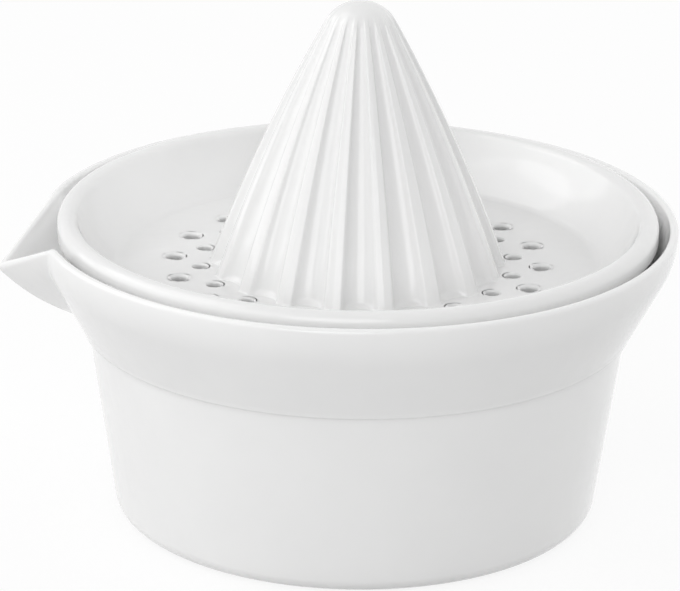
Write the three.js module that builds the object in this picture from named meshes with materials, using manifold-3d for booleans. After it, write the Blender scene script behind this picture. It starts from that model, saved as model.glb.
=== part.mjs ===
import * as THREE from 'three';
import { mergeVertices } from 'three/addons/utils/BufferGeometryUtils.js';
import Module from 'manifold-3d';

// Porcelain citrus juicer in two pieces: a bowl with a flared collar and a pouring spout, and a
// strainer dish with a ribbed reaming cone that lifts out of it.
// Millimetres, +Z up. The origin is the middle of the bowl's base and the spout points along -X.

// Bowl
const rimDiameter = 135;
const rimHeight = 64;
const rimThickness = 1.9;
const collarFlareRadius = 16;
const collarFootDiameter = 116.7;
const collarFootHeight = 41.85;
const collarWall = 3.95;
const ledgeWidth = 1.3;
const ledgeDrop = 0.45;
const bodyTaper = 8.25;
const bodyWall = 4;
const bowlFloor = 5;
const baseCornerRadius = 3.8;
const innerCornerRadius = 6;
const bowlColumns = 48;

// Spout
const spoutReach = 75.4;
const spoutTipHeight = 52.3;
const spoutKeelBow = 1.2;
const spoutHalfAngle = 17;
const spoutFootHalfAngle = 4;
const spoutWall = 2.4;
const spoutKeelSharpness = 8;

// Strainer dish
const rimGap = 2.2;
const insertRimRise = 1.8;
const insertWall = 3.44;
const insertBead = 4.4;
const insertBand = 2.8;
const dishDepth = 11.5;
const dishWallAngle = 53;
const dishWallBow = 0.8;
const dishCornerRadius = 3;
const footDrop = 4.3;
const footThickness = 4.2;
const seatLength = 3;
const seatClearance = 0.3;
const insertTurn = -1.4;
const dishColumns = 54;

// Reaming cone
const coneHeight = 57.3;
const coneBaseDiameter = 62.6;
const coneNoseRadius = 8.6;
const coneSideRadius = 375;
const coneWall = 3.3;
const ribCount = 18;
const fluteShare = 0.66;
const fluteDepth = 2;
const fluteFootHeight = 0.8;
const fluteFootLength = 1.6;
const fluteTopDrop = 1.6;
const fluteTopLength = 5;

// Strainer holes, in two rings
const innerHoleDiameter = 3.4;
const outerHoleDiameter = 4;
const innerHoleOffset = 2.2;
const holeRingPitch = 5.4;
const holeTurn = 6.2;
const holeSides = 10;

const wasm = await Module();
wasm.setup();

const radians = THREE.MathUtils.degToRad;
const lerp = THREE.MathUtils.lerp;
const point = (r, z) => new THREE.Vector2(r, z);

// A place at a radius and a height, turned from the spout's direction towards the front
function around(radius, angle, height) {
  return new THREE.Vector3(-radius * Math.cos(angle), -radius * Math.sin(angle), height);
}

// Points along an arc, both ends included
function arc(centre, radius, from, to, steps) {
  const points = [];
  for (let i = 0; i <= steps; i++) {
    const angle = lerp(from, to, i / steps);
    points.push(point(centre.x + radius * Math.cos(angle), centre.y + radius * Math.sin(angle)));
  }
  return points;
}

// Shared vertices are joined and triangles with no area are dropped
function cleaned(geometry) {
  geometry.deleteAttribute('normal');
  geometry.deleteAttribute('uv');
  const merged = mergeVertices(geometry, 1e-4);
  const kept = [];
  const index = merged.index.array;
  for (let i = 0; i < index.length; i += 3) {
    const [a, b, c] = [index[i], index[i + 1], index[i + 2]];
    if (a !== b && b !== c && c !== a) kept.push(a, b, c);
  }
  merged.setIndex(kept);
  return merged;
}

function toSolid(geometry) {
  const { attributes, index } = cleaned(geometry);
  return new wasm.Manifold(new wasm.Mesh({
    numProp: 3,
    vertProperties: Float32Array.from(attributes.position.array),
    triVerts: Uint32Array.from(index.array),
  }));
}

function toGeometry(solid) {
  const { vertProperties, triVerts } = solid.getMesh();
  const geometry = new THREE.BufferGeometry();
  geometry.setAttribute('position', new THREE.BufferAttribute(vertProperties, 3));
  geometry.setIndex(new THREE.BufferAttribute(triVerts, 1));
  geometry.computeVertexNormals();
  return geometry;
}

// A profile that starts and ends on the axis, turned about +Z
function revolve(profile, columns) {
  return new THREE.LatheGeometry(profile, columns).rotateX(Math.PI / 2);
}

// A closed skin over columns of points that run from one pole to the other
function skin(columns) {
  const rows = columns[0].length;
  const index = [];
  for (let i = 0; i < columns.length; i++) {
    const next = (i + 1) % columns.length;
    for (let j = 0; j + 1 < rows; j++) {
      const [a, b] = [i * rows + j, next * rows + j];
      index.push(a, b, b + 1, a, b + 1, a + 1);
    }
  }
  const geometry = new THREE.BufferGeometry().setFromPoints(columns.flat());
  geometry.setIndex(index);
  return cleaned(geometry);
}

// Bowl: outline of the collar, inside and out
const rimRadius = rimDiameter / 2;
const rimSpringHeight = rimHeight - rimThickness / 2;
const collarFoot = point(collarFootDiameter / 2, collarFootHeight);
const flareCentre = point(rimRadius - collarFlareRadius, rimSpringHeight);
const flareReach = flareCentre.distanceTo(collarFoot);
const flareAngle = Math.asin(collarFlareRadius / flareReach)
  - Math.atan2(collarFoot.x - flareCentre.x, flareCentre.y - collarFoot.y);
const rimOuter = point(rimRadius, rimSpringHeight);
const rimInner = point(rimRadius - rimThickness, rimSpringHeight);
const collarInnerFoot = point(collarFoot.x - collarWall, collarFoot.y);
const collarInnerSlope = (rimInner.x - collarInnerFoot.x) / (rimInner.y - collarInnerFoot.y);

function collarInnerRadius(height) {
  return collarInnerFoot.x + collarInnerSlope * (height - collarInnerFoot.y);
}

// Spout: its keel bows out from the collar's foot to the tip, and its inside follows at the wall
const keelTip = point(spoutReach, spoutTipHeight);
const keelChord = keelTip.clone().sub(collarFoot);
const keelNormal = point(keelChord.y, -keelChord.x).normalize();
const keelMiddle = collarFoot.clone().lerp(keelTip, 0.5).addScaledVector(keelNormal, 2 * spoutKeelBow);
const keel = new THREE.QuadraticBezierCurve(collarFoot, keelMiddle, keelTip);

function keelInside(share) {
  const along = keel.getTangent(share);
  const wall = lerp(collarWall, spoutWall, share);
  return keel.getPoint(share).addScaledVector(point(-along.y, along.x), wall);
}

// The rounded lip between the outer and the inner edge of a wall
function lip(outer, inner) {
  const middle = outer.clone().lerp(inner, 0.5);
  const half = outer.clone().sub(middle);
  const up = point(-half.y, half.x);
  return [45, 90, 135].map((degrees) => {
    const turn = radians(degrees);
    return middle.clone().addScaledVector(half, Math.cos(turn)).addScaledVector(up, Math.sin(turn));
  });
}

// One row of the bowl's skin: its circle, where it crosses the keel, and the spout's half angle there
const bodySpread = radians(spoutFootHalfAngle * 2);
function plainRow(circle) {
  return { circle, keel: null, spread: bodySpread };
}
function spoutRow(circle, keelPoint, share) {
  const spread = radians(lerp(spoutFootHalfAngle, spoutHalfAngle, share));
  return { circle, keel: keelPoint, spread };
}

function bowlRows() {
  const lean = radians(bodyTaper);
  const bodyTop = point(collarFoot.x - ledgeWidth, collarFoot.y - ledgeDrop);
  const outerRadius = (height) => bodyTop.x - (bodyTop.y - height) * Math.tan(lean);
  const innerRadius = (height) => outerRadius(height) - bodyWall / Math.cos(lean);
  const cornerCentre = (radiusAt, radius, floor) => point(
    radiusAt(floor + radius) - radius / Math.cos(lean), floor + radius);
  const outside = arc(cornerCentre(outerRadius, baseCornerRadius, 0), baseCornerRadius,
    -Math.PI / 2, -lean, 3);
  const inside = arc(cornerCentre(innerRadius, innerCornerRadius, bowlFloor), innerCornerRadius,
    -lean, -Math.PI / 2, 3);
  const innerTaper = Math.tan(lean);
  const joinDrop = (collarInnerFoot.x - innerRadius(collarInnerFoot.y)) / (collarInnerSlope - innerTaper);
  const join = point(collarInnerFoot.x - collarInnerSlope * joinDrop, collarInnerFoot.y - joinDrop);

  const shareAt = (height) => (height - collarFoot.y) / (rimSpringHeight - collarFoot.y);
  const flare = arc(flareCentre, collarFlareRadius, -flareAngle, 0, 3);
  const straight = [0, 0.35, 0.7].map((t) => collarFoot.clone().lerp(flare[0], t));
  const outerRows = [...straight, ...flare].map((p) => {
    const share = shareAt(p.y);
    return spoutRow(p, keel.getPoint(share), share);
  });
  const keelLip = lip(keelTip, keelInside(1));
  const lipRows = lip(rimOuter, rimInner).map((p, i) => spoutRow(p, keelLip[i], 1));
  const innerRows = [1, 0.7, 0.4, 0.15].map((share) => spoutRow(
    collarInnerFoot.clone().lerp(rimInner, share), keelInside(share), share));

  return [
    plainRow(point(0, 0)),
    ...outside.map(plainRow),
    plainRow(bodyTop),
    plainRow(point(collarFoot.x - ledgeDrop, bodyTop.y)),
    ...outerRows,
    ...lipRows,
    ...innerRows,
    plainRow(join),
    ...inside.map(plainRow),
    plainRow(point(0, bowlFloor)),
  ];
}

// Across the spout a row runs from the crease on one side, over the rounded keel, to the other crease
function acrossSpout(row, side) {
  const { circle, spread } = row;
  if (!row.keel) return around(circle.x, side * spread, circle.y);
  const rounding = 1 / spoutKeelSharpness;
  const share = (Math.hypot(side, rounding) - rounding) / (Math.hypot(1, rounding) - rounding);
  const crease = around(circle.x, Math.sign(side) * spread, circle.y);
  return around(row.keel.x, 0, row.keel.y).lerp(crease, share);
}

function buildBowl() {
  const rows = bowlRows();
  const columns = [];
  for (const side of [-1, -0.6, -0.3, -0.12, 0, 0.12, 0.3, 0.6, 1]) {
    columns.push(rows.map((row) => acrossSpout(row, side)));
  }
  for (let i = 1; i < bowlColumns; i++) {
    columns.push(rows.map(({ circle, spread }) => {
      const angle = lerp(spread, 2 * Math.PI - spread, i / bowlColumns);
      return around(circle.x, angle, circle.y);
    }));
  }
  const geometry = skin(columns);
  geometry.computeVertexNormals();
  return geometry;
}

// Strainer dish, measured from the top of its floor
const insertHeight = rimHeight + insertRimRise - dishDepth;
const beadRadius = insertBead / 2;
const beadCentre = point(rimInner.x - rimGap - beadRadius, dishDepth - beadRadius);

function buildDish() {
  const lean = radians(dishWallAngle);
  const across = point(-Math.sin(lean), Math.cos(lean));
  const innerEdge = beadCentre.clone().addScaledVector(across, beadRadius);
  const outerEdge = innerEdge.clone().addScaledVector(across, -insertWall);
  const cornerRadius = innerEdge.x - innerEdge.y / Math.tan(lean);
  const cornerCentre = point(cornerRadius - dishCornerRadius * Math.tan(lean / 2), dishCornerRadius);
  const outerWallHeight = (radius) => outerEdge.y - (outerEdge.x - radius) * Math.tan(lean);
  const outerWallRadius = (height) => outerEdge.x - (outerEdge.y - height) / Math.tan(lean);

  // The rim's bead stands on an upright band, and the wall inside it is slightly hollowed
  const bandBottom = beadCentre.y - insertBand;
  const wallFoot = cornerCentre.clone().addScaledVector(across, -dishCornerRadius);
  const wall = [0.25, 0.5, 0.75].map((t) => innerEdge.clone().lerp(wallFoot, t)
    .addScaledVector(across, -4 * t * (1 - t) * dishWallBow));

  // The underside is round below the dish's corner and then follows the wall
  const underRadius = dishCornerRadius + insertWall;
  const underHeight = (radius) => {
    const run = radius - cornerCentre.x;
    if (run > underRadius * Math.sin(lean)) return outerWallHeight(radius);
    return cornerCentre.y - Math.sqrt(underRadius ** 2 - run ** 2);
  };

  // The foot ring's lower edge is bevelled to the collar's slope, so the dish centres itself
  const seatGap = seatClearance * Math.hypot(1, collarInnerSlope);
  const seatRadius = (z) => collarInnerRadius(insertHeight + z) - seatGap;
  const footBottom = -insertWall - footDrop;
  const footOuter = seatRadius(footBottom + seatLength);
  const footInner = footOuter - footThickness;

  const profile = [
    point(0, -insertWall),
    ...[0, 0.4, 0.75, 1].map((t) => lerp(cornerCentre.x, footInner, t)).map((r) => point(r, underHeight(r))),
    point(footInner, footBottom),
    point(seatRadius(footBottom), footBottom),
    point(footOuter, footBottom + seatLength),
    point(footOuter, outerWallHeight(footOuter)),
    point(outerWallRadius(bandBottom), bandBottom),
    point(beadCentre.x + beadRadius, bandBottom),
    ...arc(beadCentre, beadRadius, 0, lean + Math.PI / 2, 5),
    ...wall,
    ...arc(cornerCentre, dishCornerRadius, lean - Math.PI / 2, -Math.PI / 2, 3),
    point(0, 0),
  ];
  return toSolid(revolve(profile, dishColumns));
}

// Reaming cone: a round nose that runs on into a long, slightly bellied side
const coneBase = point(coneBaseDiameter / 2, 0);
const noseCentre = point(0, coneHeight - coneNoseRadius);

function sideCentre() {
  const toBase = coneBase.clone().sub(noseCentre);
  const apart = toBase.length();
  const reach = coneSideRadius - coneNoseRadius;
  const along = (reach ** 2 - coneSideRadius ** 2 + apart ** 2) / (2 * apart);
  const off = Math.sqrt(reach ** 2 - along ** 2);
  const step = toBase.normalize();
  return noseCentre.clone().addScaledVector(step, along).addScaledVector(point(step.y, -step.x), off);
}

const coneSideCentre = sideCentre();
const noseTurn = noseCentre.clone().sub(coneSideCentre).angle();
const noseJoint = noseCentre.y + coneNoseRadius * Math.sin(noseTurn);

function coneRadius(height) {
  if (height >= noseJoint) return Math.sqrt(Math.max(0, coneNoseRadius ** 2 - (height - noseCentre.y) ** 2));
  return coneSideCentre.x + Math.sqrt(coneSideRadius ** 2 - (height - coneSideCentre.y) ** 2);
}

// Flutes deepen with the cone, start in a rounded end above the floor and fade out below the nose
function fluteDepthAt(height) {
  const rise = THREE.MathUtils.clamp((height - fluteFootHeight) / fluteFootLength, 0, 1);
  const drop = THREE.MathUtils.clamp((coneHeight - fluteTopDrop - height) / fluteTopLength, 0, 1);
  const fade = Math.sqrt(1 - (1 - rise) ** 2) * Math.sin(drop * Math.PI / 2);
  return fluteDepth * fade * coneRadius(height) / coneBase.x;
}

function coneHeights(sunk) {
  const footTop = fluteFootHeight + fluteFootLength;
  const fadeTop = coneHeight - fluteTopDrop;
  const fadeStart = fadeTop - fluteTopLength;
  const foot = [-sunk, fluteFootHeight, fluteFootHeight + 0.25 * fluteFootLength, footTop];
  const side = [0.2, 0.4, 0.6, 0.8, 1].map((t) => lerp(footTop, fadeStart, t));
  const nose = [0.4, 0.75, 1].map((t) => lerp(fadeStart, fadeTop, t));
  return [...foot, ...side, ...nose, coneHeight - fluteTopDrop / 4];
}

function buildCone() {
  const sunk = insertWall / 2;
  const heights = coneHeights(sunk);
  const half = fluteShare / 2;
  const columns = [];
  for (let rib = 0; rib < ribCount; rib++) {
    for (const place of [-0.5, -half, -half * 0.65, 0, half * 0.65, half]) {
      const angle = (rib + 0.5 + place) * 2 * Math.PI / ribCount;
      const depthShare = Math.sqrt(Math.max(0, 1 - (place / half) ** 2));
      const side = heights.map((height) => {
        const base = coneRadius(Math.max(height, 0));
        return around(base - depthShare * fluteDepthAt(height), angle, height);
      });
      columns.push([new THREE.Vector3(0, 0, -sunk), ...side, new THREE.Vector3(0, 0, coneHeight)]);
    }
  }
  return toSolid(skin(columns));
}

// The cone is hollow, open from below
function buildHollow() {
  const inset = fluteDepth + coneWall;
  const top = coneHeight - coneNoseRadius - coneWall;
  const profile = [point(0, -2 * insertWall), point(coneBase.x - inset, -2 * insertWall)];
  for (const share of [0, 0.25, 0.5, 0.75, 0.95]) {
    profile.push(point(coneRadius(share * top) - inset, share * top));
  }
  profile.push(point(0, top));
  return toSolid(revolve(profile, dishColumns));
}

// Two rings of strainer holes, one hole of each to a rib, set half a step apart
function buildHoles() {
  const step = 2 * Math.PI / ribCount;
  const innerRing = coneBase.x + innerHoleOffset;
  const rings = [
    { radius: innerRing, diameter: innerHoleDiameter, turn: radians(holeTurn) },
    { radius: innerRing + holeRingPitch, diameter: outerHoleDiameter, turn: radians(holeTurn) + step / 2 },
  ];
  const holes = [];
  for (const { radius, diameter, turn } of rings) {
    for (let i = 0; i < ribCount; i++) {
      const place = around(radius, turn + i * step, -insertWall / 2);
      const drill = new THREE.CylinderGeometry(diameter / 2, diameter / 2, 2 * insertWall, holeSides);
      holes.push(toSolid(drill.rotateX(Math.PI / 2).translate(place.x, place.y, place.z)));
    }
  }
  return holes;
}

function buildInsert() {
  let solid = buildDish().add(buildCone()).subtract(buildHollow());
  for (const hole of buildHoles()) solid = solid.subtract(hole);
  return toGeometry(solid);
}

// White glazed porcelain
function porcelain() {
  return new THREE.MeshStandardMaterial({ color: 0xf3f3f1, roughness: 0.16, metalness: 0 });
}

const bowl = new THREE.Mesh(buildBowl(), porcelain());
bowl.name = 'juice_bowl';

const insert = new THREE.Mesh(buildInsert(), porcelain());
insert.name = 'reamer_strainer';

const lifted = new THREE.Group();
lifted.position.z = insertHeight;
lifted.rotation.z = radians(insertTurn);
lifted.add(insert);

const juicer = new THREE.Group();
juicer.add(bowl, lifted);

export default juicer;
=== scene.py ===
import math

import bmesh
import bpy
import numpy as np
from mathutils import Matrix, Vector
from mathutils.geometry import delaunay_2d_cdt


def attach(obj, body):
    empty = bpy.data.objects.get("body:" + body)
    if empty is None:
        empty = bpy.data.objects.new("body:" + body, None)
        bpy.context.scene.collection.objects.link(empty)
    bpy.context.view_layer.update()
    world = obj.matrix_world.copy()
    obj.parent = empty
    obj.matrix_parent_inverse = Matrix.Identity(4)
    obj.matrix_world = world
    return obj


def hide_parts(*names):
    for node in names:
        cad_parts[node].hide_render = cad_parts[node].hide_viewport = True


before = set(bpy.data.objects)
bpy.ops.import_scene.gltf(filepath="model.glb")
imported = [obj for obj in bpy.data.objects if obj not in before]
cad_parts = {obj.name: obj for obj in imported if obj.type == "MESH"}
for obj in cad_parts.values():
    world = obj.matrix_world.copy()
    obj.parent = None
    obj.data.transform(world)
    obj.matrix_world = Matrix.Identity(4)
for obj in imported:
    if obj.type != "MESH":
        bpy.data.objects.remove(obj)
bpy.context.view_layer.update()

# Sizes of the two pieces in millimetres, the same as the solids'
RIM_DIAMETER = 135.0
RIM_HEIGHT = 64.0
RIM_THICKNESS = 1.9
COLLAR_FLARE_RADIUS = 16.0
COLLAR_FOOT_DIAMETER = 116.7
COLLAR_FOOT_HEIGHT = 41.85
COLLAR_WALL = 3.95
LEDGE_WIDTH = 1.3
LEDGE_DROP = 0.45
BODY_TAPER = math.radians(8.25)
BODY_WALL = 4.0
BOWL_FLOOR = 5.0
BASE_CORNER_RADIUS = 3.8
INNER_CORNER_RADIUS = 6.0

SPOUT_REACH = 75.4
SPOUT_TIP_HEIGHT = 52.3
SPOUT_KEEL_BOW = 1.2
SPOUT_HALF_ANGLE = math.radians(17.0)
SPOUT_FOOT_HALF_ANGLE = math.radians(4.0)
SPOUT_WALL = 2.4
SPOUT_KEEL_ROUNDING = 0.125

RIM_GAP = 2.2
INSERT_RIM_RISE = 1.8
INSERT_WALL = 3.44
INSERT_BEAD = 4.4
INSERT_BAND = 2.8
DISH_DEPTH = 11.5
DISH_WALL_ANGLE = math.radians(53.0)
DISH_WALL_BOW = 0.8
DISH_CORNER_RADIUS = 3.0
FOOT_DROP = 4.3
FOOT_THICKNESS = 4.2
FOOT_EDGE = 0.8
SEAT_LENGTH = 3.0
SEAT_CLEARANCE = 0.3
INSERT_TURN = math.radians(-1.4)

CONE_HEIGHT = 57.3
CONE_BASE_RADIUS = 31.3
CONE_NOSE_RADIUS = 8.6
CONE_SIDE_RADIUS = 375.0
CONE_WALL = 3.3
RIB_COUNT = 18
FLUTE_SHARE = 0.66
FLUTE_DEPTH = 2.0
FLUTE_FOOT_HEIGHT = 0.8
FLUTE_FOOT_LENGTH = 1.6
FLUTE_TOP_DROP = 1.6
FLUTE_TOP_LENGTH = 5.0

INNER_HOLE_RADIUS = 1.5
OUTER_HOLE_RADIUS = 1.75
INNER_HOLE_RING = CONE_BASE_RADIUS + 2.2
HOLE_RING_PITCH = 5.4
HOLE_TURN = math.radians(6.2)

# Fine forms that the solids leave out, and how far the flutes go past theirs
BAND_EDGE = 0.6
CONE_FOOT_FILLET = 0.5
FLUTE_EXTRA_DEPTH = 0.6
FLUTE_EXTRA_DROP = 1.1
FLUTE_EDGE_BLEND = 0.02
RIB_CROWN = 0.12
INNER_HOLE_LIP = 0.5
OUTER_HOLE_LIP = 0.7
HOLLOW_MOUTH_ROUNDING = 1.2
HOLLOW_CAP_RISE = 1.2
HOLLOW_CAP_START = 0.95

# How finely the surfaces are drawn
BOWL_COLUMNS = 240
SPOUT_COLUMNS = 41
DISH_COLUMNS = 12 * RIB_COUNT
RIB_COLUMNS = 32
HOLE_POINTS = 28
CORNER_POINTS = 12
LIP_POINTS = 9
SPOUT_ROWS = 28
DISC_MIDDLE = 2.0

# How far beside an edge the next points lie, which keeps the edge soft but narrow
FLAT_MARGIN = 0.25
EDGE_MARGIN = 0.3
FOLD_MARGIN = 0.4

RIM_RADIUS = RIM_DIAMETER / 2
RIM_SPRING = RIM_HEIGHT - RIM_THICKNESS / 2
INSERT_HEIGHT = RIM_HEIGHT + INSERT_RIM_RISE - DISH_DEPTH
FLUTE_START = FLUTE_FOOT_HEIGHT - FLUTE_EXTRA_DROP


# Outlines are rows of radius and height
def arc(centre, radius, start, end, count):
    angles = np.linspace(start, end, count)
    return np.stack([centre[0] + radius * np.cos(angles), centre[1] + radius * np.sin(angles)], 1)


def line(start, end, count):
    return np.linspace(np.array(start, float), np.array(end, float), count)


def bend(start, middle, end, count):
    """A smooth bend from start to end, drawn towards middle."""
    t = np.linspace(0, 1, count)[:, None]
    return (1 - t) ** 2 * start + 2 * t * (1 - t) * middle + t ** 2 * end


def crossing(one, one_turn, other, other_turn):
    """Where two lines meet, each through a point in a direction."""
    one_way = np.array([math.cos(one_turn), math.sin(one_turn)])
    other_way = np.array([math.cos(other_turn), math.sin(other_turn)])
    reach = np.linalg.solve(np.stack([one_way, -other_way], 1), other - one)[0]
    return one + reach * one_way


def around(radius, angle, height):
    """Places at a radius and a height, turned from the spout's direction towards the front."""
    return np.stack(np.broadcast_arrays(-radius * np.cos(angle), -radius * np.sin(angle), height), -1)


# Meshes
class Skin:
    """Collects grids and flat faces, then becomes one mesh with its shared edges joined."""

    def __init__(self):
        self.points = []
        self.faces = []
        self.count = 0

    def add_points(self, points):
        first = self.count
        self.points.append(np.asarray(points, float).reshape(-1, 3))
        self.count += len(self.points[-1])
        return first

    def add_grid(self, columns):
        """A ring of columns of points; the last column joins the first."""
        across, rows, _ = columns.shape
        first = self.add_points(columns)
        for i in range(across):
            here = first + i * rows
            there = first + (i + 1) % across * rows
            for j in range(rows - 1):
                self.faces.append((here + j, there + j, there + j + 1, here + j + 1))

    def add_flat(self, loops, height, keep):
        """A flat face between closed loops of points, triangulated where keep(x, y) says so."""
        points = [Vector((float(x), float(y))) for loop in loops for x, y in loop]
        edges = []
        start = 0
        for loop in loops:
            size = len(loop)
            edges += [(start + i, start + (i + 1) % size) for i in range(size)]
            start += size
        places, _, faces, _, _, _ = delaunay_2d_cdt(points, edges, [], 0, 1e-6)
        first = self.add_points([(p.x, p.y, height) for p in places])
        for face in faces:
            x = sum(places[k].x for k in face) / len(face)
            y = sum(places[k].y for k in face) / len(face)
            if keep(x, y):
                self.faces.append(tuple(first + k for k in face))

    def to_object(self, name, place=Matrix.Identity(4)):
        points = np.concatenate(self.points) * 0.001
        mesh = bpy.data.meshes.new(name)
        mesh.from_pydata(points.tolist(), [], self.faces)
        work = bmesh.new()
        work.from_mesh(mesh)
        bmesh.ops.remove_doubles(work, verts=work.verts, dist=1e-6)
        bmesh.ops.dissolve_degenerate(work, edges=work.edges, dist=1e-8)
        bmesh.ops.recalc_face_normals(work, faces=work.faces)
        work.transform(place)
        work.to_mesh(mesh)
        work.free()
        mesh.polygons.foreach_set("use_smooth", [True] * len(mesh.polygons))
        piece = bpy.data.objects.new(name, mesh)
        bpy.context.scene.collection.objects.link(piece)
        return piece


# Bowl
collar_foot = np.array([COLLAR_FOOT_DIAMETER / 2, COLLAR_FOOT_HEIGHT])
rim_outer = np.array([RIM_RADIUS, RIM_SPRING])
rim_inner = np.array([RIM_RADIUS - RIM_THICKNESS, RIM_SPRING])
collar_inner_foot = collar_foot - (COLLAR_WALL, 0)
collar_inner_slope = (rim_inner[0] - collar_inner_foot[0]) / (rim_inner[1] - collar_inner_foot[1])
keel_tip = np.array([SPOUT_REACH, SPOUT_TIP_HEIGHT])


def keel_middle():
    chord = keel_tip - collar_foot
    outward = np.array([chord[1], -chord[0]]) / np.linalg.norm(chord)
    return (collar_foot + keel_tip) / 2 + 2 * SPOUT_KEEL_BOW * outward


def keel_point(share):
    rest = 1 - share
    return rest ** 2 * collar_foot + 2 * share * rest * keel_middle() + share ** 2 * keel_tip


def keel_inside(share):
    along = (1 - share) * (keel_middle() - collar_foot) + share * (keel_tip - keel_middle())
    along = along / np.linalg.norm(along)
    wall = COLLAR_WALL + (SPOUT_WALL - COLLAR_WALL) * share
    return keel_point(share) + wall * np.array([-along[1], along[0]])


def lip(outer, inner, count):
    """The rounded lip from the outer to the inner edge of a wall, both left out."""
    middle = (outer + inner) / 2
    half = outer - middle
    up = np.array([-half[1], half[0]])
    turns = np.linspace(0, math.pi, count + 2)[1:-1]
    return [middle + half * math.cos(t) + up * math.sin(t) for t in turns]


def bowl_rows():
    """Each row is its circle's radius and height, the same where it crosses the keel,
    and the spout's half angle.
    """
    lean = BODY_TAPER
    body_top = collar_foot - (LEDGE_WIDTH, LEDGE_DROP)

    def outer(height):
        return body_top[0] - (body_top[1] - height) * math.tan(lean)

    def inner(height):
        return outer(height) - BODY_WALL / math.cos(lean)

    def corner(radius_at, radius, floor):
        return radius_at(floor + radius) - radius / math.cos(lean), floor + radius

    outside_centre = corner(outer, BASE_CORNER_RADIUS, 0)
    outside = arc(outside_centre, BASE_CORNER_RADIUS, -math.pi / 2, -lean, CORNER_POINTS)
    inside_centre = corner(inner, INNER_CORNER_RADIUS, BOWL_FLOOR)
    inside = arc(inside_centre, INNER_CORNER_RADIUS, -lean, -math.pi / 2, CORNER_POINTS)
    drop = (collar_inner_foot[0] - inner(collar_inner_foot[1])) / (collar_inner_slope - math.tan(lean))
    join = collar_inner_foot - (collar_inner_slope * drop, drop)
    ledge_corner = (collar_foot[0] - LEDGE_DROP, collar_foot[1])

    flare_centre = np.array([RIM_RADIUS - COLLAR_FLARE_RADIUS, RIM_SPRING])
    reach = flare_centre - collar_foot
    flare_angle = math.asin(COLLAR_FLARE_RADIUS / np.linalg.norm(reach)) - math.atan2(-reach[0], reach[1])
    flare = arc(flare_centre, COLLAR_FLARE_RADIUS, -flare_angle, 0, 14)
    collar = np.concatenate([line(collar_foot, flare[0], 16)[:-1], flare])

    rows = []

    def plain(points):
        rows.extend((p, None, 2 * SPOUT_FOOT_HALF_ANGLE) for p in np.atleast_2d(points))

    def pouring(p, keel, share):
        spread = SPOUT_FOOT_HALF_ANGLE + (SPOUT_HALF_ANGLE - SPOUT_FOOT_HALF_ANGLE) * share
        rows.append((p, keel, spread))

    plain((0, 0))
    plain(line((DISC_MIDDLE, 0), outside[0] - (FLAT_MARGIN, 0), 4))
    plain(outside)
    plain(line(outside[-1], body_top - (0, EDGE_MARGIN), 24)[1:])
    plain(body_top)
    plain(body_top + (FLAT_MARGIN, 0))
    plain(arc(ledge_corner, LEDGE_DROP, -math.pi / 2, 0, 5)[:-1])
    for p in collar:
        share = (p[1] - collar_foot[1]) / (RIM_SPRING - collar_foot[1])
        pouring(p, keel_point(share), share)
    rim_lip = lip(rim_outer, rim_inner, LIP_POINTS)
    spout_lip = lip(keel_tip, keel_inside(1.0), LIP_POINTS)
    for p, keel in zip(rim_lip, spout_lip):
        pouring(p, keel, 1.0)
    for share in np.linspace(1.0, 0.0, SPOUT_ROWS):
        pouring(collar_inner_foot + (rim_inner - collar_inner_foot) * share, keel_inside(share), share)
    plain(line(join, inside[0], 16))
    plain(inside[1:])
    plain(line(inside[-1] - (FLAT_MARGIN, 0), (DISC_MIDDLE, BOWL_FLOOR), 4))
    plain((0, BOWL_FLOOR))
    return rows


def bowl_column(rows, place):
    """The points of one column; place is -1 to 1 across the spout, and above 1 round the rest."""
    points = []
    for circle, keel, spread in rows:
        if place > 1:
            angle = spread + (2 * math.pi - 2 * spread) * (place - 1)
        else:
            angle = place * spread
        point = around(circle[0], angle, circle[1])
        if place <= 1 and keel is not None:
            rounding = SPOUT_KEEL_ROUNDING
            share = (math.hypot(place, rounding) - rounding) / (math.hypot(1, rounding) - rounding)
            crease = around(circle[0], math.copysign(spread, place), circle[1])
            point = around(keel[0], 0.0, keel[1]) * (1 - share) + crease * share
        points.append(point)
    return points


def make_bowl():
    rows = bowl_rows()
    across = np.linspace(-1, 1, SPOUT_COLUMNS)
    rest = 1 + np.arange(1, BOWL_COLUMNS) / BOWL_COLUMNS
    skin = Skin()
    skin.add_grid(np.array([bowl_column(rows, place) for place in [*across, *rest]]))
    return skin.to_object("porcelain_bowl")


# Insert, measured from the top of its strainer floor
def cone_side_centre():
    base = np.array([CONE_BASE_RADIUS, 0.0])
    nose = np.array([0.0, CONE_HEIGHT - CONE_NOSE_RADIUS])
    apart = np.linalg.norm(base - nose)
    reach = CONE_SIDE_RADIUS - CONE_NOSE_RADIUS
    along = (reach ** 2 - CONE_SIDE_RADIUS ** 2 + apart ** 2) / (2 * apart)
    step = (base - nose) / apart
    return nose + step * along + np.array([step[1], -step[0]]) * math.sqrt(reach ** 2 - along ** 2)


side_centre = cone_side_centre()
nose_turn = math.atan2(CONE_HEIGHT - CONE_NOSE_RADIUS - side_centre[1], -side_centre[0])
nose_joint = CONE_HEIGHT - CONE_NOSE_RADIUS + CONE_NOSE_RADIUS * math.sin(nose_turn)


def cone_radius(height):
    if height >= nose_joint:
        return math.sqrt(max(0.0, CONE_NOSE_RADIUS ** 2 - (height - CONE_HEIGHT + CONE_NOSE_RADIUS) ** 2))
    return side_centre[0] + math.sqrt(CONE_SIDE_RADIUS ** 2 - (height - side_centre[1]) ** 2)


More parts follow.
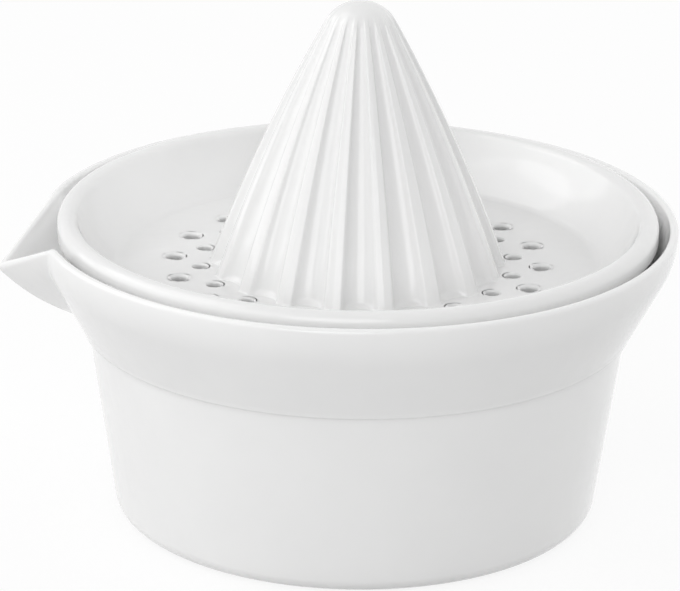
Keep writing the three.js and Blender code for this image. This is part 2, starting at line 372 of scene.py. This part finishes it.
def flute_section(place):
    """Depth of a flute, from 0 on the crest to 1 in its middle; place is -0.5 to 0.5 across a rib's step."""
    spread = np.linspace(-FLUTE_EDGE_BLEND, FLUTE_EDGE_BLEND, 9)
    apart = np.abs((place[:, None] + spread[None, :] + 0.5) % 1.0 - 0.5) / (FLUTE_SHARE / 2)
    return np.sqrt(np.clip(1 - apart ** 2, 0, None)).mean(axis=1)


CONE_COLUMNS = RIB_COLUMNS * RIB_COUNT
CONE_ANGLES = np.arange(CONE_COLUMNS) / CONE_COLUMNS * 2 * math.pi


def flute_cut(height):
    """How far each column of the cone's side is cut back at a height."""
    place = (np.arange(CONE_COLUMNS) / RIB_COLUMNS) % 1.0 - 0.5
    crest = np.clip((np.abs(place) - FLUTE_SHARE / 2) / (0.5 - FLUTE_SHARE / 2), 0, 1)
    rise = np.clip((height - FLUTE_START) / FLUTE_FOOT_LENGTH, 0, 1)
    drop = np.clip((CONE_HEIGHT - FLUTE_TOP_DROP - height) / FLUTE_TOP_LENGTH, 0, 1)
    fade = math.sqrt(1 - (1 - rise) ** 2) * math.sin(drop * math.pi / 2)
    depth = (FLUTE_DEPTH + FLUTE_EXTRA_DEPTH) * flute_section(place) + RIB_CROWN * (1 - crest ** 2)
    return depth * fade * cone_radius(height) / CONE_BASE_RADIUS


def cone_columns(heights):
    rows = [around(cone_radius(height) - flute_cut(height), CONE_ANGLES, height) for height in heights]
    return np.stack(rows, 1)


def ring(radius, count):
    return around(radius, np.arange(count) / count * 2 * math.pi, 0.0)[:, :2]


def holes():
    """Centre, throat radius and lip of every strainer hole."""
    step = 2 * math.pi / RIB_COUNT
    for i in range(RIB_COUNT):
        yield around(INNER_HOLE_RING, HOLE_TURN + i * step, 0.0)[:2], INNER_HOLE_RADIUS, INNER_HOLE_LIP
        outer = INNER_HOLE_RING + HOLE_RING_PITCH
        yield around(outer, HOLE_TURN + (i + 0.5) * step, 0.0)[:2], OUTER_HOLE_RADIUS, OUTER_HOLE_LIP


def add_hole(skin, centre, throat, edge):
    """A rounded lip on top, and below it a wall that widens to the underside."""
    margin = throat + edge + FLAT_MARGIN
    lip_top = arc((throat + edge, -edge), edge, math.pi / 2, math.pi, 8)
    wall = line((throat, -edge), (throat + edge, -INSERT_WALL), 8)[1:]
    profile = np.concatenate([[(margin, 0)], lip_top, wall, [(margin, -INSERT_WALL)]])
    angles = np.arange(HOLE_POINTS) / HOLE_POINTS * 2 * math.pi
    columns = around(profile[None, :, 0], angles[:, None], profile[None, :, 1])
    columns[..., 0] += centre[0]
    columns[..., 1] += centre[1]
    skin.add_grid(columns[:, ::-1])


def add_floor(skin, height, inner, outer):
    """One flat side of the strainer floor, from the inner to the outer ring, with its holes left out."""
    loops = [ring(*inner), ring(*outer)]
    places = list(holes())
    for centre, throat, edge in places:
        loops.append(ring(throat + edge + FLAT_MARGIN, HOLE_POINTS) + centre)

    def keep(x, y):
        if not inner[0] * 0.999 < math.hypot(x, y) < outer[0]:
            return False
        return all(math.hypot(x - c[0], y - c[1]) > throat + edge for c, throat, edge in places)

    skin.add_flat(loops, height, keep)


def dish_profile():
    """From the floor's top edge up over the rim, down the outside, round the foot ring to the underside."""
    lean = DISH_WALL_ANGLE
    bead = INSERT_BEAD / 2
    bead_centre = np.array([rim_inner[0] - RIM_GAP - bead, DISH_DEPTH - bead])
    across = np.array([-math.sin(lean), math.cos(lean)])
    inner_edge = bead_centre + across * bead
    outer_edge = inner_edge - across * INSERT_WALL
    corner = inner_edge[0] - inner_edge[1] / math.tan(lean)
    centre = np.array([corner - DISH_CORNER_RADIUS * math.tan(lean / 2), DISH_CORNER_RADIUS])
    under_radius = DISH_CORNER_RADIUS + INSERT_WALL

    # The wall is hollowed: it leaves the corner flatter, and meets the bead steeper, than its mean slope
    chord = np.linalg.norm(inner_edge - centre + across * DISH_CORNER_RADIUS)
    bow_turn = math.atan(4 * DISH_WALL_BOW / chord)
    low_turn, high_turn = lean - bow_turn, lean + bow_turn
    inside = arc(centre, DISH_CORNER_RADIUS, -math.pi / 2, low_turn - math.pi / 2, 10)
    rim = arc(bead_centre, bead, high_turn + math.pi / 2, 0, 24)
    wall = bend(inside[-1], crossing(inside[-1], low_turn, rim[0], high_turn), rim[0], 16)

    # Below the bead stands an upright band
    band = bead_centre[0] + bead
    band_low = bead_centre[1] - INSERT_BAND
    band_foot = outer_edge[0] - (outer_edge[1] - band_low) / math.tan(lean)

    def outer_wall(radius):
        return np.array([radius, outer_edge[1] - (outer_edge[0] - radius) * math.tan(lean)])

    def underside(radius):
        run = radius - centre[0]
        if run > under_radius * math.sin(lean):
            return outer_wall(radius)
        return np.array([radius, centre[1] - math.sqrt(under_radius ** 2 - run ** 2)])

    seat_gap = SEAT_CLEARANCE * math.hypot(1, collar_inner_slope)

    def seat(height):
        radius = collar_inner_foot[0] + collar_inner_slope * (INSERT_HEIGHT + height - collar_inner_foot[1])
        return np.array([radius - seat_gap, height])

    foot_low = -INSERT_WALL - FOOT_DROP
    seat_top = seat(foot_low + SEAT_LENGTH)
    foot_inner = seat_top[0] - FOOT_THICKNESS
    foot_corner = np.array([foot_inner + FOOT_EDGE, foot_low])
    foot_root = outer_wall(seat_top[0])
    seat_edge = np.array([0.1, 0.2])
    toe = seat(foot_low)
    toe_edge = toe + (-FLAT_MARGIN, 0.08)
    foot_flat = 0.2
    inner_fold = 0.15
    soft_reach = 0.6
    return np.concatenate([
        [inside[0] - (FLAT_MARGIN, 0)],
        inside,
        wall[1:-1],
        rim,
        line(rim[-1], (band, band_low + BAND_EDGE), 5)[1:-1],
        arc((band - BAND_EDGE, band_low + BAND_EDGE), BAND_EDGE, 0, -math.pi / 2, 6),
        [(band_foot + FOLD_MARGIN, band_low), outer_wall(band_foot) - (0, FOLD_MARGIN)],
        line(outer_wall(band_foot - FOLD_MARGIN), outer_wall(seat_top[0] + FOLD_MARGIN), 4),
        [foot_root - (0, EDGE_MARGIN)],
        line(foot_root - (0, EDGE_MARGIN + FOLD_MARGIN), seat_top + (0, EDGE_MARGIN), 6),
        line(seat_top - seat_edge, seat(foot_low + FOOT_EDGE / 2), 5),
        [toe_edge, toe - (soft_reach, 0)],
        [foot_corner + (foot_flat, 0), foot_corner],
        arc(foot_corner + (0, FOOT_EDGE), FOOT_EDGE, -math.pi / 2, -math.pi, 6)[1:],
        line((foot_inner, foot_low + FOOT_EDGE + EDGE_MARGIN), underside(foot_inner) - (0, soft_reach), 5),
        [underside(foot_inner - inner_fold) - (0, inner_fold)],
        [underside(radius) for radius in np.linspace(foot_inner - soft_reach, centre[0], 12)],
        [(centre[0] - FLAT_MARGIN, -INSERT_WALL)],
    ])


def make_insert():
    skin = Skin()
    profile = dish_profile()
    angles = np.arange(DISH_COLUMNS) / DISH_COLUMNS * 2 * math.pi
    skin.add_grid(around(profile[None, :, 0], angles[:, None], profile[None, :, 1])[:, ::-1])

    # Cone: a fillet off the floor, the ribbed side and the round nose
    foot_turn = math.atan2(cone_radius(0) - cone_radius(CONE_FOOT_FILLET), CONE_FOOT_FILLET)
    foot_reach = cone_radius(CONE_FOOT_FILLET) + CONE_FOOT_FILLET / math.cos(foot_turn)
    foot_centre = (foot_reach, CONE_FOOT_FILLET)
    foot = arc(foot_centre, CONE_FOOT_FILLET, 1.5 * math.pi, math.pi + foot_turn, 7)
    foot = np.concatenate([[foot[0] + (FLAT_MARGIN, 0)], foot])
    foot_top = foot[-1][1]
    foot_reach = foot[None, :, 0] - flute_cut(foot_top)[:, None]
    foot_reach[:, 0] = foot[0][0]
    foot_columns = around(foot_reach, CONE_ANGLES[:, None], foot[None, :, 1])
    low = np.linspace(foot_top + 0.1, 2 * FLUTE_FOOT_LENGTH, 16)
    high = np.linspace(low[-1], CONE_HEIGHT - FLUTE_TOP_DROP - FLUTE_TOP_LENGTH, 26)[1:]
    fading = np.linspace(high[-1], CONE_HEIGHT - FLUTE_TOP_DROP, 12)[1:]
    turn = math.asin((fading[-1] - CONE_HEIGHT + CONE_NOSE_RADIUS) / CONE_NOSE_RADIUS)
    nose_turns = np.linspace(turn, math.radians(86), 12)[1:]
    nose = CONE_HEIGHT - CONE_NOSE_RADIUS + CONE_NOSE_RADIUS * np.sin(nose_turns)
    side = cone_columns([*low, *high, *fading, *nose])
    tip = np.broadcast_to(np.array([0, 0, CONE_HEIGHT]), (CONE_COLUMNS, 1, 3))
    skin.add_grid(np.concatenate([foot_columns, side, tip], axis=1))

    # Hollow under the cone, from its rounded mouth up
    inset = FLUTE_DEPTH + CONE_WALL
    top = CONE_HEIGHT - CONE_NOSE_RADIUS - CONE_WALL
    mouth = CONE_BASE_RADIUS - inset
    rounding = HOLLOW_MOUTH_ROUNDING
    edge = arc((mouth + rounding, rounding - INSERT_WALL), rounding, 1.5 * math.pi, math.pi, 6)
    wall = np.array([(cone_radius(h) - inset, h) for h in np.linspace(0, HOLLOW_CAP_START * top, 24)])
    cap = line(wall[-1], (0, top), 8)[1:]
    cap[:, 1] += HOLLOW_CAP_RISE * np.sin(np.linspace(0, math.pi, 8)[1:])
    hollow = np.concatenate([[(mouth + rounding + FLAT_MARGIN, -INSERT_WALL)], edge, wall, cap])
    skin.add_grid(around(hollow[None, :, 0], angles[:, None], hollow[None, :, 1]))

    for hole in holes():
        add_hole(skin, *hole)
    floor_edge = profile[0][0]
    under_edge = profile[-1][0]
    add_floor(skin, 0.0, (foot[0][0], CONE_COLUMNS), (floor_edge, DISH_COLUMNS))
    add_floor(skin, -INSERT_WALL, (hollow[0][0], DISH_COLUMNS), (under_edge, DISH_COLUMNS))

    place = Matrix.Translation((0, 0, INSERT_HEIGHT * 0.001)) @ Matrix.Rotation(INSERT_TURN, 4, "Z")
    return skin.to_object("porcelain_insert", place)


# Materials; the bowl is given a brighter white than the insert, painted light standing in for the floor's
# bounce that lights the bowl's outside more than the insert
BOWL_WHITE = 0.905
INSERT_WHITE = 0.85
CLOUD_SCALE = 45.0
CLOUD_DIMMING = 0.02
GLOSS_SCALE = 160.0
GLOSS_ROUGHNESS = (0.07, 0.12)
GLAZE_IOR = 1.5
WAVE_SCALE = 120.0
WAVE_STRENGTH = 0.05
WAVE_HEIGHT = 0.002


def new_material(name):
    material = bpy.data.materials.new(name)
    material.use_nodes = True
    tree = material.node_tree
    return material, tree, tree.nodes["Principled BSDF"]


def add_node(tree, kind, **values):
    node = tree.nodes.new(kind)
    for key, value in values.items():
        if key in node.inputs:
            node.inputs[key].default_value = value
        else:
            setattr(node, key, value)
    return node


def noise(tree, scale, detail):
    place = add_node(tree, "ShaderNodeTexCoord")
    node = add_node(tree, "ShaderNodeTexNoise", Scale=scale, Detail=detail)
    tree.links.new(place.outputs["Object"], node.inputs["Vector"])
    return node.outputs["Fac"]


def ramp(tree, factor, stops):
    node = tree.nodes.new("ShaderNodeValToRGB")
    for i, (place, colour) in enumerate(stops):
        stop = node.color_ramp.elements[i]
        stop.position = place
        stop.color = (*colour, 1.0)
    tree.links.new(factor, node.inputs["Fac"])
    return node.outputs["Color"]


def glazed_porcelain(name, white):
    """White porcelain under a clear glaze: faint cloudiness, slight waves in the gloss."""
    material, tree, shader = new_material(name)
    dim = white - CLOUD_DIMMING
    clouds = [(0.3, (dim, dim, dim - 0.002)), (0.7, (white, white, white - 0.003))]
    tree.links.new(ramp(tree, noise(tree, CLOUD_SCALE, 3.0), clouds), shader.inputs["Base Color"])
    smooth, rough = GLOSS_ROUGHNESS
    gloss = ramp(tree, noise(tree, GLOSS_SCALE, 2.0), [(0.3, (smooth,) * 3), (0.75, (rough,) * 3)])
    tree.links.new(gloss, shader.inputs["Roughness"])
    shader.inputs["IOR"].default_value = GLAZE_IOR
    waves = add_node(tree, "ShaderNodeBump", Strength=WAVE_STRENGTH, Distance=WAVE_HEIGHT)
    tree.links.new(noise(tree, WAVE_SCALE, 2.0), waves.inputs["Height"])
    tree.links.new(waves.outputs["Normal"], shader.inputs["Normal"])
    return material


# Camera at the photograph's place, in millimetres
def add_camera():
    azimuth = math.radians(-2.0)
    elevation = math.radians(20.152)
    roll = math.radians(0.67)
    distance = 952.194
    aim = Vector((0.0, 0.0, 55.0))
    shift_right, shift_up = 3.724, 7.863
    focal_pixels, frame_pixels = 4500.0, 680.0
    sensor = 36.0
    back = Vector((math.cos(elevation) * math.sin(azimuth), -math.cos(elevation) * math.cos(azimuth),
                   math.sin(elevation)))
    right = Vector((math.cos(azimuth), math.sin(azimuth), 0.0))
    up = back.cross(right)
    turned_right = right * math.cos(roll) + up * math.sin(roll)
    turned_up = up * math.cos(roll) - right * math.sin(roll)
    place = aim + back * distance - turned_right * shift_right - turned_up * shift_up
    data = bpy.data.cameras.new("camera")
    data.sensor_fit = "HORIZONTAL"
    data.sensor_width = sensor
    data.lens = focal_pixels / frame_pixels * sensor
    data.clip_start = 0.05
    data.clip_end = 50.0
    camera = bpy.data.objects.new("camera", data)
    axes = Matrix((turned_right, turned_up, back)).transposed().to_4x4()
    camera.matrix_world = Matrix.Translation(place * 0.001) @ axes
    bpy.context.scene.collection.objects.link(camera)
    bpy.context.scene.camera = camera


# Floor, backdrop and light, in metres and watts
FLOOR_HALF = 6.0
FLOOR_DROP = 0.00005
FLOOR_BOUNCE = 0.64
FLOOR_WHITE = 0.95
FLOOR_GLOW = 0.85
AMBIENT = 0.48
LAMP_AIM = 0.05


def seen_white(tree):
    """1 for what the camera sees straight, in a gloss or through glass, and 0 for light that bounces."""
    path = add_node(tree, "ShaderNodeLightPath")
    either = add_node(tree, "ShaderNodeMath", operation="MAXIMUM")
    tree.links.new(path.outputs["Is Camera Ray"], either.inputs[0])
    tree.links.new(path.outputs["Is Glossy Ray"], either.inputs[1])
    seen = add_node(tree, "ShaderNodeMath", operation="MAXIMUM")
    tree.links.new(either.outputs["Value"], seen.inputs[0])
    tree.links.new(path.outputs["Is Transmission Ray"], seen.inputs[1])
    return seen.outputs["Value"]


def add_floor_plane():
    mesh = bpy.data.meshes.new("floor")
    square = [(-1, -1), (1, -1), (1, 1), (-1, 1)]
    corners = [(x * FLOOR_HALF, y * FLOOR_HALF, -FLOOR_DROP) for x, y in square]
    mesh.from_pydata(corners, [], [(0, 1, 2, 3)])
    floor = bpy.data.objects.new("floor", mesh)
    bpy.context.scene.collection.objects.link(floor)
    material, tree, shader = new_material("floor_white")
    seen = seen_white(tree)
    colour = ramp(tree, seen, [(0.0, (FLOOR_BOUNCE,) * 3), (1.0, (FLOOR_WHITE,) * 3)])
    tree.links.new(colour, shader.inputs["Base Color"])
    shader.inputs["Roughness"].default_value = 0.9
    shader.inputs["Specular IOR Level"].default_value = 0.0
    share = add_node(tree, "ShaderNodeMath", operation="MULTIPLY")
    share.inputs[1].default_value = FLOOR_GLOW
    white = add_node(tree, "ShaderNodeEmission", Strength=1.0)
    mix = add_node(tree, "ShaderNodeMixShader")
    tree.links.new(seen, share.inputs[0])
    tree.links.new(share.outputs["Value"], mix.inputs["Fac"])
    tree.links.new(shader.outputs["BSDF"], mix.inputs[1])
    tree.links.new(white.outputs["Emission"], mix.inputs[2])
    tree.links.new(mix.outputs["Shader"], tree.nodes["Material Output"].inputs["Surface"])
    mesh.materials.append(material)


def add_lamp(name, azimuth, elevation, distance, diameter, power, mirrored=True):
    """A round soft lamp; azimuth 0 is in front and 90 at the right. A mirrored one shows in the glaze."""
    turn, rise = math.radians(azimuth), math.radians(elevation)
    level = distance * math.cos(rise)
    place = Vector((level * math.sin(turn), -level * math.cos(turn), distance * math.sin(rise) + LAMP_AIM))
    data = bpy.data.lights.new(name, "AREA")
    data.shape = "DISK"
    data.size = diameter
    data.energy = power
    lamp = bpy.data.objects.new(name, data)
    lamp.location = place
    lamp.visible_glossy = mirrored
    lamp.rotation_euler = (Vector((0, 0, LAMP_AIM)) - place).to_track_quat("-Z", "Y").to_euler()
    bpy.context.scene.collection.objects.link(lamp)


def add_world():
    world = bpy.data.worlds.new("studio")
    bpy.context.scene.world = world
    world.use_nodes = True
    tree = world.node_tree
    background = tree.nodes["Background"]
    background.inputs["Color"].default_value = (1, 1, 1, 1)
    strength = add_node(tree, "ShaderNodeMapRange")
    strength.inputs["To Min"].default_value = AMBIENT
    strength.inputs["To Max"].default_value = 1.0
    tree.links.new(seen_white(tree), strength.inputs["Value"])
    tree.links.new(strength.outputs["Result"], background.inputs["Strength"])


bpy.context.scene.view_settings.view_transform = "Standard"
add_camera()
add_floor_plane()
add_world()
# Lamps
add_lamp("key", -101, 47, 1.0, 0.85, 2.0)
add_lamp("left_front", -52, 35, 1.0, 0.75, 1.1)
add_lamp("left", -100, 13, 1.2, 1.3, 3.7)
add_lamp("front", -10, 24, 1.3, 0.9, 4.7)
add_lamp("right", 118, 10, 1.3, 1.9, 9.6, mirrored=False)
add_lamp("back_right", 132, 15, 1.2, 1.8, 4.0, mirrored=False)

bowl = make_bowl()
bowl.data.materials.append(glazed_porcelain("bowl_porcelain", BOWL_WHITE))
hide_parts("juice_bowl")
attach(bowl, "bowl")

insert = make_insert()
insert.data.materials.append(glazed_porcelain("insert_porcelain", INSERT_WHITE))
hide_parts("reamer_strainer")
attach(insert, "insert")
